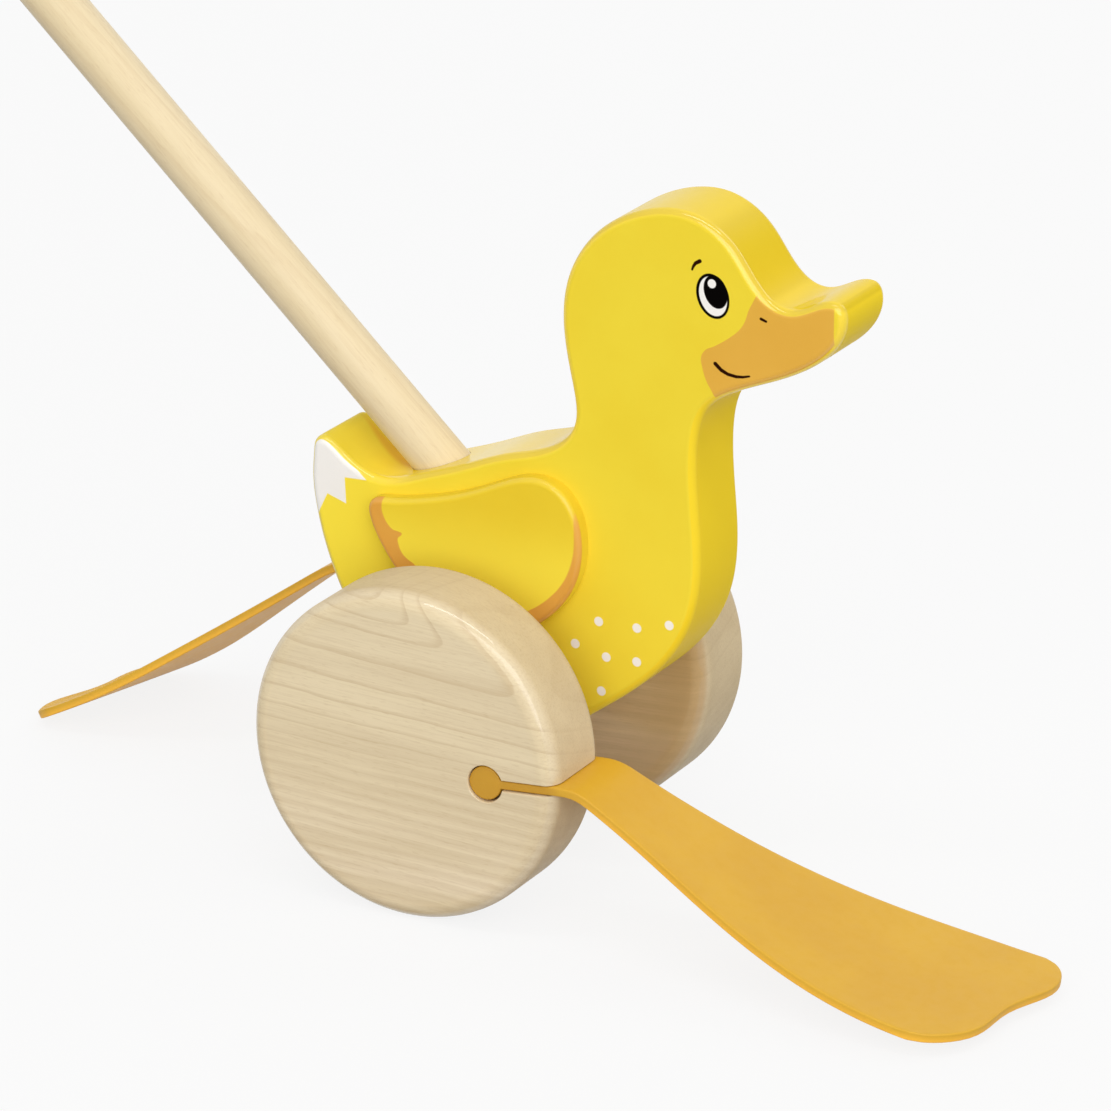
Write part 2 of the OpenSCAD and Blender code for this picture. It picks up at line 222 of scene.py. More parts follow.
def wheel(name, side, turn):
    """A disc with a keyhole. At each depth the loop is the rim's circle, the slot's lower wall, the
    round hole and the slot's upper wall. The rim and the keyhole stand back by their own quarter
    circles near both faces. A blind bore for the axle is drilled from the inner face."""
    near = np.unique(np.concatenate([edge_depths(KEYHOLE_EDGE, KEYHOLE_STEPS),
                                     edge_depths(WHEEL_EDGE, WHEEL_STEPS)]))
    depth = np.concatenate([near, near[::-1]])
    across = np.concatenate([near - WHEEL_HALF, WHEEL_HALF - near[::-1]])
    rim = (WHEEL_R - RIM_TRIM - edge_inset(depth, WHEEL_EDGE))[:, None]
    half = (SLOT_HALF + edge_inset(depth, KEYHOLE_EDGE))[:, None]
    hole = (KEYHOLE_R + edge_inset(depth, KEYHOLE_EDGE))[:, None]
    low, high = -KEYHOLE_DROP - half, -KEYHOLE_DROP + half
    t = np.linspace(0, 1, RIM_POINTS)[None, :]
    begin, end = np.arcsin(high / rim), np.arcsin(low / rim) + 2 * np.pi
    arc = begin + (end - begin) * t
    joint = KEYHOLE_REACH + np.sqrt(hole ** 2 - half ** 2)
    wall = np.linspace(0, 1, WALL_POINTS)[None, 1:-1]
    gape = np.arcsin(half / hole)
    bend = -gape - (2 * np.pi - 2 * gape) * np.linspace(0, 1, HOLE_POINTS)[None, :]
    low_mouth, high_mouth = np.sqrt(rim ** 2 - low ** 2), np.sqrt(rim ** 2 - high ** 2)
    out = np.concatenate([rim * np.cos(arc), low_mouth + (joint - low_mouth) * wall,
                          KEYHOLE_REACH + hole * np.cos(bend),
                          joint + (high_mouth - joint) * wall], 1)
    up = np.concatenate([rim * np.sin(arc), low + 0 * wall,
                         -KEYHOLE_DROP + hole * np.sin(bend), high + 0 * wall], 1)
    c, s = math.cos(math.radians(turn)), math.sin(math.radians(turn))
    way = -side
    grid = np.stack([way * (out * c - up * s), way * (across[:, None] + 0 * out) + side * HUB,
                     out * s + up * c], -1)
    piece = put(name, grid, *capped(*grid.shape[:2]))
    bore = rod_profile(AXLE_END, GLUE_R, BORE_EDGE)
    blind = turned("bore", (0, 0, 0), (0, side, 0), bore, PLAIN_ROUND)
    return crisp(drilled(piece, blind))


def ease(t):
    """An even start and stop between 0 and 1."""
    t = np.clip(t, 0, 1)
    return t * t * (3 - 2 * t)


def heading(degrees):
    """Forward and up parts of a direction."""
    return np.stack([np.cos(np.radians(degrees)), np.sin(np.radians(degrees))], -1)


def foot(name, side, turn, hang):
    """A strip of rubber along a path: straight in the slot, then with a slope that eases from the
    slot's to the droop and on to the toes' droop. It twists towards the toes, and where it would dip
    into the floor it lies along it. Its half thickness swells to a circle at the bead and falls by a
    quarter circle at every edge. The attribute underside is 1 on its lower skin past the slot."""
    droop, toe_droop, bend, straight, twist = hang
    slot_run = math.sqrt(WHEEL_R ** 2 - KEYHOLE_DROP ** 2) - KEYHOLE_REACH
    rim = (KEYHOLE_REACH + slot_run) * heading(turn) - KEYHOLE_DROP * heading(turn + 90)

    def slope(s):
        hanging = turn - (droop + turn) * ease(s / bend)
        return hanging + (droop - toe_droop) * ease((s - straight) / (FOOT_LEN - straight))

    fine = np.linspace(0, FOOT_LEN + TOE_SKEW, PATH_POINTS)
    step = fine[1]
    steps = np.cumsum(step * heading(slope(fine[:-1] + step / 2)), 0)
    line = rim + np.concatenate([[[0, 0]], steps])

    # Lanes across the strip, closer near its sides, and its length in each lane
    edge = np.array([0, 0.03, 0.1, 0.22, 0.4, 1.3])
    inside = np.sin(np.linspace(-np.pi / 2, np.pi / 2, LANES))[1:-1]
    lane = np.concatenate([np.full(len(edge), -1.0), inside, np.full(len(edge), 1.0)])
    short = np.concatenate([edge, np.full(len(inside), edge[-1]), edge[::-1]])
    outer = np.sign(lane) * (np.abs(lane) == 1) * (edge[-1] - short)
    v = ((FOOT_TOE_W / 2 - edge[-1]) * lane + outer) / (FOOT_TOE_W / 2)
    corner = 1 - np.maximum(1 - np.abs(v) ** TOE_SQUARE, 0) ** (1 / TOE_SQUARE)
    length = (FOOT_LEN - TOE_TRIM + TOE_SKEW * v - TOE_ROUND * corner
              - TOE_NOTCH * np.maximum(0, np.cos(np.pi / 2 * v / NOTCH_SHARE)) ** 2)

    # Rows along the strip: round the bead, straight across its root, then drawn out to the toes
    sat, root_end = slot_run + BEAD_SET, 20
    bead = -sat - BEAD_R * np.cos(np.linspace(0, BEAD_SWEEP * np.pi, BEAD_ROWS))
    root = np.concatenate([bead, np.linspace(bead[-1], root_end, ROOT_ROWS)[1:]])
    on = np.linspace(0, 1, WEB_ROWS)[1:, None]
    s = np.concatenate([np.broadcast_to(root[:, None], (len(root), len(v))),
                        root_end + (length - edge[-1] - root_end) * on,
                        length - edge[-2::-1, None]])
    width = FOOT_ROOT_W + (FOOT_TOE_W - FOOT_ROOT_W) * ease(s / FOOT_FLARE)
    y = (width / 2 - edge[-1]) * lane + outer

    # Both skins, half a thickness from the path
    swell = np.sqrt(np.maximum(BEAD_R ** 2 - (s + sat) ** 2, 0))
    thick = np.where(s < -sat, swell, np.maximum(swell, FOOT_HALF))
    from_edge = np.minimum(width / 2 - np.abs(y), length - s)
    thick = np.maximum(thick - edge_inset(from_edge, RUBBER_EDGE), RUBBER_THIN)
    tilt = np.where(s < 0, turn, slope(s))
    curved = np.stack([np.interp(s, fine, line[:, 0]), np.interp(s, fine, line[:, 1])], -1)
    middle = np.where((s < 0)[..., None], rim + s[..., None] * heading(turn), curved)
    lift = y * np.tan(np.radians(twist * ease(s / FOOT_LEN)))
    top, low = (middle + (lift + face * thick)[..., None] * heading(tilt + 90) for face in (1, -1))
    for skin, face in ((top, 1), (low, -1)):
        over = skin[..., 1] - LYING_UP - face * thick
        skin[..., 1] += (np.sqrt(over * over + LYING_EASE ** 2) - over) / 2
    top, low = (np.concatenate([skin, y[..., None]], -1) for skin in (top, low))
    around = np.concatenate([top, low[:, ::-1]], 1)
    way = -side
    grid = np.stack([way * around[..., 0], way * around[..., 2] + side * HUB, around[..., 1]], -1)

    # The toes and the heel are closed by faces between the two skins
    rows, columns = grid.shape[:2]
    j = np.arange(columns // 2 - 1)
    last = (rows - 1) * columns
    toes = last + np.stack([j, columns - 1 - j, columns - 2 - j, j + 1], -1)
    heel = np.stack([j + 1, columns - 2 - j, columns - 1 - j, j], -1)
    piece = put(name, grid, quads(rows, columns), toes, heel)
    fade_run = 15
    below = np.zeros((rows, columns), np.float32)
    below[:, columns // 2:] = ease(s[:, ::-1] / fade_run)
    mark = piece.data.attributes.new("underside", "FLOAT", "POINT")
    mark.data.foreach_set("value", below.ravel())
    return piece


# Materials

class Wire:
    """A value on its way through a material. Arithmetic adds Math nodes, and node() adds any other
    kind."""

    def __init__(self, tree, socket):
        self.tree, self.socket = tree, socket

    def node(self, kind, settings=None, sockets=None, out=0):
        """A new node: its settings first, then its sockets' values or links, and the wanted
        output."""
        made = self.tree.nodes.new(kind)
        for key, value in (settings or {}).items():
            if key == "curve":
                points = made.mapping.curves[0].points
                while len(points) < len(value):
                    points.new(0.5, 0.5)
                for point, place in zip(points, value):
                    point.location = place
                made.mapping.update()
            else:
                setattr(made, key, value)
        for key, value in (sockets or {}).items():
            if isinstance(value, Wire):
                self.tree.links.new(value.socket, made.inputs[key])
            else:
                made.inputs[key].default_value = value
        return Wire(self.tree, made.outputs[out])

    def other(self, out):
        """Another output of this value's node."""
        return Wire(self.tree, self.socket.node.outputs[out])

    def math(self, operation, *values):
        """A Math node on some values."""
        return self.node("ShaderNodeMath", {"operation": operation}, dict(enumerate(values)))

    def __add__(self, other):
        return self.math("ADD", self, other)

    def __sub__(self, other):
        return self.math("SUBTRACT", self, other)

    def __rsub__(self, other):
        return self.math("SUBTRACT", other, self)

    def __mul__(self, other):
        return self.math("MULTIPLY", self, other)

    def __truediv__(self, other):
        return self.math("DIVIDE", self, other)

    def __pow__(self, other):
        return self.math("POWER", self, other)

    def __abs__(self):
        return self.math("ABSOLUTE", self)

    def __neg__(self):
        return self.math("MULTIPLY", self, -1)

    __radd__, __rmul__ = __add__, __mul__

    def most(self, other):
        return self.math("MAXIMUM", self, other)

    def least(self, other):
        return self.math("MINIMUM", self, other)

    def root(self):
        return self.math("SQRT", self)

    def rise(self, low, high, to=(0, 1)):
        """An eased rise from the first of to at low to the second at high."""
        return self.node("ShaderNodeMapRange", {"interpolation_type": "SMOOTHSTEP"},
                         {"Value": self, "From Min": low, "From Max": high,
                          "To Min": to[0], "To Max": to[1]})

    def drift(self, to=(0, 1)):
        """The rise over the range in which most of a noise lies."""
        return self.rise(0.3, 0.7, to)

    def over(self, below, above):
        """A colour mixed from below to above by this value."""
        return self.node("ShaderNodeMix", {"data_type": "RGBA"}, {0: self, 6: below, 7: above}, 2)


def srgb(red, green, blue):
    """A linear colour from screen values up to 255."""
    c = np.array([red, green, blue]) / 255
    linear = np.where(c <= 0.04045, c / 12.92, ((c + 0.055) / 1.055) ** 2.4)
    return (*linear.tolist(), 1.0)


def new_finish(name, **constants):
    """A material, its shader, and the place on the piece in millimetres forward, left and up from
    the axle."""
    finish = bpy.data.materials.new(name)
    finish.use_nodes = True
    tree = finish.node_tree
    shader = next(n for n in tree.nodes if n.type == "BSDF_PRINCIPLED")
    for key, value in constants.items():
        shader.inputs[key.replace("_", " ")].default_value = value
    spot = Wire(tree, None).node("ShaderNodeTexCoord", out="Object")
    parts = spot.node("ShaderNodeSeparateXYZ", None, {0: spot})
    x, y, z = (parts.other(k) * PER_METRE for k in range(3))
    return finish, shader, x, y, z - WHEEL_R


def feed(shader, **wires):
    """Wires to the shader's own inputs."""
    for key, wire in wires.items():
        wire.tree.links.new(wire.socket, shader.inputs[key.replace("_", " ")])


def noise(a, b, c, scale, detail=2.0, rough=0.5):
    """Noise from 0 to 1 over three coordinates."""
    place = a.node("ShaderNodeCombineXYZ", None, {0: a, 1: b, 2: c})
    return a.node("ShaderNodeTexNoise", None,
                  {"Vector": place, "Scale": scale, "Detail": detail, "Roughness": rough})


def bump(height, depth):
    """A normal bent by a height from 0 to 1 that stands for a depth in millimetres."""
    return height.node("ShaderNodeBump", None,
                       {"Strength": 1.0, "Distance": depth * MM, "Height": height})


def upward(wire):
    """How far the surface faces up, from -1 to 1."""
    facing = wire.node("ShaderNodeNewGeometry", out="Normal")
    return wire.node("ShaderNodeSeparateXYZ", None, {0: facing}, 2)


def gloss(x, y, z, inner, outer):
    """Weight of the clear coat: little on flat walls, more where the lacquer pooled on top, most on
    the rounded edges between the inner and outer distance from the middle."""
    edge = abs(y).rise(inner - 0.2, inner + 0.3) * abs(y).rise(outer, outer - 0.25)
    pooled = z.rise(60, 70, (0.8, 0.49)) * x.rise(-22, -14, (0.1, 1))
    return upward(y).rise(0.55, 0.95, (0.015, pooled)).most(edge)


def disc(x, z, centre, radius):
    """Distance inside a disc's edge."""
    return radius - ((x - centre[0]) ** 2 + (z - centre[1]) ** 2).root()


def oval(x, z, centre, half_x, half_z, lean):
    """Distance inside an oval's edge, near enough, with its top leaning back by some degrees."""
    c, s = math.cos(math.radians(lean)), math.sin(math.radians(lean))
    p = (x - centre[0]) * (c / half_x) + (z - centre[1]) * (s / half_x)
    q = (z - centre[1]) * (c / half_z) - (x - centre[0]) * (s / half_z)
    return (1 - (p * p + q * q).root()) * min(half_x, half_z)


def stroke(x, z, points):
    """Distance inside a brush stroke through points of (forward, up, half width), from its nearest
    straight piece."""
    pieces = []
    for (x0, z0, w0), (x1, z1, w1) in zip(points, points[1:]):
        dx, dz = x1 - x0, z1 - z0
        t = ((x - x0) * dx + (z - z0) * dz) / (dx * dx + dz * dz)
        t = t.most(0).least(1)
        gone = ((x - x0 - t * dx) ** 2 + (z - z0 - t * dz) ** 2).root()
        pieces.append(w0 + t * (w1 - w0) - gone)
    return reduce(Wire.most, pieces)


def beyond(x, z, start, end):
    """Distance to the left of a line from start to end."""
    dx, dz = end[0] - start[0], end[1] - start[1]
    size = math.hypot(dx, dz)
    return (z - start[1]) * (dx / size) - (x - start[0]) * (dz / size)


def painted(inside, soft=0.09):
    """Cover of paint from a distance inside its edge."""
    return inside.rise(-soft, soft)


def across_curve(value, low, high, points):
    """A curve through points read at a value, both laid out between low and high corners."""
    spot = (value - low[0]) / (high[0] - low[0])
    laid = [((p - low[0]) / (high[0] - low[0]), (q - low[1]) / (high[1] - low[1]))
            for p, q in points]
    read = value.node("ShaderNodeFloatCurve", {"curve": laid}, {"Factor": 1.0, "Value": spot})
    return read * (high[1] - low[1]) + low[1]


# Paint
# The pale yellow, the wall yellows and the stick's amber are painted light, shade and reflection
YELLOW, YELLOW_DEEP, YELLOW_PAINTED_LIGHT = srgb(242, 217, 62), srgb(240, 213, 58), srgb(254, 230, 70)
WALL_PAINTED_LIGHT, WALL_TAIL_PAINTED_LIGHT, WALL_TOP_PAINTED_SHADE = srgb(250, 218, 47), srgb(236, 211, 60), srgb(230, 199, 43)
STICK_SHADE = srgb(222, 156, 38)
BEAK_ORANGE, BEAK_DEEP = srgb(230, 178, 74), srgb(227, 174, 70)
LINE_BROWN, EYE_BLACK, WHITE = srgb(40, 12, 4), srgb(6, 4, 4), srgb(246, 243, 238)
# The low amber is painted light, paler where the wheel shades the wing
AMBER, AMBER_DEEP, AMBER_LOW_PAINTED_LIGHT = srgb(237, 206, 54), srgb(235, 203, 51), srgb(249, 226, 70)
FEATHER_ORANGE, FEATHER_DEEP = srgb(230, 170, 76), srgb(226, 163, 70)
LACQUER = {"Coat_Roughness": 0.09, "Coat_IOR": 1.6, "Specular_IOR_Level": 0.01}

# Painted lines: the beak's back edge, the feathers' edge and the wing's front edge are places
# forward at each height, and strokes are points forward and up with half widths
BEAK_BACK = [
    (78, 58.6), (82, 56.8), (84.3, 55.4), (87.2, 54.4), (89.4, 54.1), (91, 54.9), (92.4, 57.3),
    (94.8, 60.8), (97, 63.2), (98.7, 64.3), (101.6, 65.3), (103.4, 66.2), (108, 68.5)]
SMILE = [(57.5, 88.5, 0.46), (58.9, 87.3, 0.44), (60.5, 86.6, 0.4), (62.5, 86.35, 0.36),
         (64.1, 86.5, 0.3), (65.6, 86.9, 0.22)]
NOSTRIL = [(68.2, 100.1, 0.34), (69.4, 99.7, 0.28)]
BROW = [(51.8, 108.7, 0.26), (52.1, 109.5, 0.32), (52.6, 110.2, 0.4), (53.6, 110.8, 0.46)]
CHEST_DOTS = [(29.6, 24.9), (39.0, 25.0), (46.9, 27.0), (23.8, 18.7), (31.5, 16.9), (39.0, 17.1),
              (30.3, 8.7)]
DOT_R, GLINT_R, EYE_LEAN = 1.08, 0.98, 18
FEATHER_LINE = [
    (14, -4), (22, -8.2), (28, -11.4), (31.9, -14.3), (33.0, -16.2), (34.2, -17.5), (35.9, -18.3),
    (37.3, -18.5), (38.7, -17.5), (39.2, -19.6), (40.1, -20.8), (41.7, -21.9), (43.4, -22.5),
    (45.2, -22.5), (50, -22.4)]
FRONT_LINE = [
    (14, 4), (20, 7.5), (24, 11.5), (26.1, 14.4), (27.6, 16.7), (30.3, 19.8), (33.4, 22.4),
    (36.6, 24.1), (40.3, 25.2), (42.7, 25.5), (45.9, 25.5), (49, 25.3), (52, 25.2), (60, 26)]


def beak_cover(x, y, z):
    """Paint in front of the beak's back edge, which also goes a little round the lower rounding."""
    back_edge = across_curve(z, (78, 50), (108, 70), BEAK_BACK)
    under = beyond(x, z, (58, 80.5), (84, 93.5)).rise(5, 3)
    side = (abs(y) - SIDE + under * 0.35).rise(-0.22, -0.06)
    return painted(x - back_edge) * side * painted(85.3 - x, 0.15)


def tail_cover(x, y, z):
    """Paint above a zigzag of straight lines, on the flat sides and behind the tail's top."""
    tip = beyond(x, z, (-38.7, 43.4), (-34.2, 47.8))
    first = beyond(x, z, (-34.2, 47.9), (-28.4, 48.1))
    second = beyond(x, z, (-38.7, 43.4), (-33.9, 41.8)).least(
        beyond(x, z, (-33.9, 41.8), (-34.2, 47.8)))
    third = beyond(x, z, (-40.9, 38.9), (-38.7, 43.4))
    zigzag = tip.most(first).most(second.least(-33.0 - x)).most(third.least(-38.0 - x))
    behind = beyond(x, z, (-28.7, 48.1), (-40.2, 56.9)).least(-20 - x)
    return painted(zigzag, 0.14) * abs(y).rise(SIDE - 0.5, SIDE - 0.3) * painted(behind, 0.14)


def duck_paint():
    """Yellow lacquer, with painted light that makes it paler towards the tail and low down. The walls
    are painted as lit and shaded copies of the yellow: brighter, with painted shade where they face
    up, and amber beside the stick as a painted shadow and reflection of it. Face, chest and tail are
    painted on both flat sides, as covers laid over one another."""
    finish, shader, x, y, z = new_finish("yellow_paint", **LACQUER)
    flat = abs(y).rise(SIDE - 0.22, SIDE - 0.06)
    cloud = noise(x, y, z, 0.06, 3.0)
    # Painted light: the flat sides are paler towards the tail and a little towards the bottom
    pale = (x.rise(-5, -40) * 0.9).most(z.rise(72, 22) * 0.2)
    face = pale.over(cloud.drift().over(YELLOW, YELLOW_DEEP), YELLOW_PAINTED_LIGHT)
    # Painted light and shade on the walls: a lit yellow, another towards the tail, and painted shade
    # where they face up
    tilt = upward(x)
    top = tilt.rise(0.25, 0.5) * tilt.rise(0.92, 0.8, (0.5, 1)) * x.rise(-25, -15)
    wall = top.over(x.rise(-24, -36).over(WALL_PAINTED_LIGHT, WALL_TAIL_PAINTED_LIGHT), WALL_TOP_PAINTED_SHADE)
    # Painted shadow and reflection of the stick: amber on the tail's top beneath it
    stick_shadow = (y + 14 + x * 0.5).rise(0, 2.5) * y.rise(8.5, 5.5) * x.rise(-15, -19)
    wall = (stick_shadow * 0.6).over(wall, STICK_SHADE)
    colour = flat.over(wall, face)
    beak = beak_cover(x, y, z)
    ink = stroke(x, z, SMILE).most(stroke(x, z, NOSTRIL)).most(stroke(x, z, BROW))
    lines = painted(ink, 0.1) * flat
    eye = painted(oval(x, z, (56.75, 103.45), 3.85, 5.05, EYE_LEAN)) * flat
    ball = painted(oval(x, z, (56.8, 103.45), 3.2, 4.4, EYE_LEAN)) * flat
    pupil = painted(oval(x, z, (57.4, 104.5), 2.75, 3.75, EYE_LEAN)) * flat
    glint = painted(disc(x, z, (56.5, 106.2), GLINT_R)) * flat
    spots = reduce(Wire.most, [disc(x, z, spot, DOT_R) for spot in CHEST_DOTS])
    dots = painted(spots, 0.12) * flat
    tail = tail_cover(x, y, z)
    layers = ((beak, cloud.drift().over(BEAK_ORANGE, BEAK_DEEP)), (lines, LINE_BROWN),
              (eye, EYE_BLACK), (ball, WHITE), (pupil, EYE_BLACK), (glint, WHITE), (dots, WHITE),
              (tail, WHITE))
    for cover, tint in layers:
        colour = cover.over(colour, tint)
    marks = (beak + lines + eye + dots + tail).least(1)
    peel = noise(x, y, z, 0.9, 2.0)
    swirl = noise(x * 0.12, y, z, 0.8, 3.0)
    dry_ink = 1 - eye.most(lines) * 0.9
    dry_chest = 1 - x.rise(20, 28) * z.rise(84, 76) * 0.85
    coat = gloss(x, y, z, SIDE - BOARD_EDGE, SIDE) * dry_ink * cloud.drift((0.85, 1.0)) * dry_chest
    feed(shader, Base_Color=colour, Roughness=peel.drift((0.32, 0.38)), Coat_Weight=coat,
         Normal=bump(peel * 0.45 + swirl * 0.35 + marks * 0.6, 0.018))
    return finish


def wing_paint():
    """Amber lacquer on the wing's face, with painted light that makes it paler low down next to the
    wheel. Orange is brushed over its rear feathers up to a scalloped line, and along the rounding of
    its lower front edge, wider towards the bottom."""
    finish, shader, x, y, z = new_finish("wing_paint", **LACQUER)
    cloud = noise(x, y, z, 0.06, 3.0)
    # Painted light: the face is paler low down, next to the wheel that shades it
    colour = z.rise(50, 34).over(cloud.drift().over(AMBER, AMBER_DEEP), AMBER_LOW_PAINTED_LIGHT)
    rear = across_curve(z, (14, -26), (50, -2), FEATHER_LINE)
    feathers = painted(rear - x, 0.2) * abs(y).rise(SIDE + 2.0, SIDE + 2.5)
    front = across_curve(z, (14, 4), (60, 30), FRONT_LINE)
    brim = abs(y).rise(SIDE + 2.7, SIDE + 3.1)
    edge = painted(x - front, 0.25) * brim * z.rise(53, 47)
    colour = feathers.most(edge).over(colour, cloud.drift().over(FEATHER_ORANGE, FEATHER_DEEP))
    peel = noise(x, y, z, 0.9, 2.0)
    coat = gloss(x, y, z, SIDE + WING_T - WING_EDGE, SIDE + WING_T) * cloud.drift((0.5, 0.6))
    feed(shader, Base_Color=colour, Roughness=peel.drift((0.34, 0.4)), Coat_Weight=coat,
         Normal=bump(peel * 0.5 + feathers * 0.3, 0.018))
    return finish


# Wood and rubber
# The low maple is painted light, paler in the lower half of the wheel's face
MAPLE, MAPLE_LOW_PAINTED_LIGHT, MAPLE_MID = srgb(233, 215, 178), srgb(239, 221, 189), srgb(225, 206, 169)
MAPLE_DARK = srgb(183, 152, 108)
# Painted light on the wheels' inner faces: warm reflected light from the duck, and shade towards the
# rim
INNER_HUB_REFLECTION, INNER_RIM_SHADE = srgb(237, 209, 164), srgb(213, 182, 133)
INNER_HUB_MID_REFLECTION, INNER_RIM_MID_SHADE = srgb(231, 201, 157), srgb(207, 175, 127)
STICK_PALE, STICK_MID, STICK_DARK = srgb(233, 215, 178), srgb(228, 209, 169), srgb(192, 161, 116)
KNOB_PALE, KNOB_MID, KNOB_DARK = srgb(227, 207, 166), srgb(219, 197, 154), srgb(184, 150, 104)
BEECH_PALE, BEECH_MID, BEECH_DARK = srgb(212, 184, 146), srgb(203, 172, 132), srgb(150, 112, 74)
RUBBER, RUBBER_DEEP, RUBBER_DUST = srgb(221, 172, 48), srgb(216, 165, 42), srgb(206, 148, 40)
# The bright tone below is painted light, and the bead end's tone is darker
RUBBER_PAINTED_LIGHT, RUBBER_BEAD_END = srgb(255, 192, 62), srgb(186, 132, 36)
# The count of growth rings at each level across the wheel's face
RING_COUNT = [
    (-44, -4), (-37, -1.8), (-30.4, 0), (-27, 1), (-20.2, 2), (-14.5, 3), (-9.5, 4), (-5.5, 5),
    (-2, 6.1), (2, 7.4), (44, 22.4)]


def grain(shader, along, across, through, ring, pale, mid, dark, coat):
    """Wood under clear lacquer: growth rings, long fibres and short flecks, over slow changes from
    pale to mid."""
    fibres = noise(along * 0.03, across, through, 2.4, 4.0, 0.62)
    broad = noise(along * 0.012, across * 0.12, through * 0.12, 1.0, 2.0)
    flecks = noise(along * 0.4, across * 2.6, through * 2.6, 1.0, 1.0).rise(0.58, 0.74)
    colour = broad.drift().over(pale, mid)
    for cover in (fibres.rise(0.4, 0.75) * 0.2, ring, flecks * 0.16):
        colour = cover.over(colour, dark)
    feed(shader, Base_Color=colour, Roughness=fibres.drift((0.38, 0.48)),
         Coat_Weight=broad.drift((0.92, 1.0)) * coat,
         Normal=bump(fibres * 0.6 - flecks * 0.4, 0.004))


def fine_line(rings):
    """Growth lines: dark where a ring ends, after a short rise, and nothing before."""
    part = rings.math("FRACT", rings)
    return part.rise(0.72, 0.955) * part.rise(1.0, 0.96)


def wheel_wood(name, side, flip):
    """Flat-sawn maple: rings run along the wheel, broad and soft in its lower half, and close above
    in nested arches of thin lines where a level slope and a steep one meet. The face is paler low
    down as painted light. The tread shows fainter lines, the inner face has a warm painted reflection
    of the duck and painted shade towards the rim, and the coat is thickest on the outer rounding."""
    finish, shader, x, y, z = new_finish(name, Coat_Roughness=0.1, Coat_IOR=1.6,
                                         Specular_IOR_Level=0.02)
    u = x * flip
    deep = (abs(y) - HUB - WHEEL_HALF) * -side * flip
    wave = noise(x * 0.04, y * 0.05, z * 0.05, 1.0, 2.0)
    ripple = noise(x * 0.1, y * 0.1, z * 0.4, 1.0, 2.0)
    fall = -z - u * (0.04 + z.most(0) * 0.002) + deep * 0.3
    arch = u * 0.925 + z * 1.065 - 70.3 + deep * 0.2
    met = fall.math("SMOOTH_MAX", fall, arch, 14.0)
    field = met + (wave - 0.5) * 1.8 + (ripple - 0.5) * 0.6
    rings = across_curve(field, (-44, -4), (44, 24), RING_COUNT)
    low = z.rise(6, -8)
    part = rings.math("FRACT", rings)
    soft = part.math("PINGPONG", part, 0.5).rise(0, 0.5)
    tread = abs(abs(y) - HUB).rise(WHEEL_HALF - 1.0, WHEEL_HALF - 3.5)
    inner = (abs(y) - HUB).rise(-WHEEL_HALF + 2.7, -WHEEL_HALF + 1.2)
    radius = (x * x + z * z).root()
    outward = radius.rise(20, 33)
    lines = fine_line(rings) * (1 - low * 0.8) * 0.28 + soft * low * 0.22
    ring = lines * (1 - tread * 0.7) + tread * 0.16
    # Painted light: the face is paler in its lower half
    face = z.rise(0, -34).over(MAPLE, MAPLE_LOW_PAINTED_LIGHT)
    # Painted reflection of the yellow duck on the inner face, with painted shade towards the rim
    pale = inner.over(face, outward.over(INNER_HUB_REFLECTION, INNER_RIM_SHADE))
    mid = inner.over(MAPLE_MID, outward.over(INNER_HUB_MID_REFLECTION, INNER_RIM_MID_SHADE))
    rounding = radius.rise(WHEEL_R - 2.1, WHEEL_R - 1.3)
    coat = radius.rise(WHEEL_R - 5, WHEEL_R - 4, (0.6, 0.2)).most(rounding) * (1 - tread * 0.95)
    grain(shader, x, z + u * 0.05, y, ring, pale, mid, MAPLE_DARK, coat)
    return finish


def stick_wood(name, pale, mid, dark, girth):
    """Straight-grained maple along the stick's own line: rings cut by the round side show as long
    narrow lines."""
    finish, shader, x, y, z = new_finish(name, Coat_Roughness=0.3, Specular_IOR_Level=0.15)
    cx, cz = stick_way[0], stick_way[2]
    along = (x - stick_foot[0]) * cx + (z - stick_foot[2]) * cz
    out = (x - stick_foot[0]) * cz - (z - stick_foot[2]) * cx
    wave = noise(along * 0.004, out * 0.05, y * 0.05, 1.0, 2.0)
    rings = (out * 0.8 + y * 0.6) * girth + (wave - 0.5) * 5 + along * 0.012
    grain(shader, along, out, y, fine_line(rings) * 0.14, pale, mid, dark, 0.2)
    return finish


def axle_wood():
    """Beech along the axle, with short dark flecks."""
    finish, shader, x, y, z = new_finish("axle_wood", Coat_Roughness=0.3)
    rings = x * 0.5 + z * 0.35 + (noise(x * 0.05, y * 0.01, z * 0.05, 1.0) - 0.5) * 3
    ring = fine_line(rings) * 0.35
    grain(shader, y, x, z, ring, BEECH_PALE, BEECH_MID, BEECH_DARK, 0.65)
    return finish


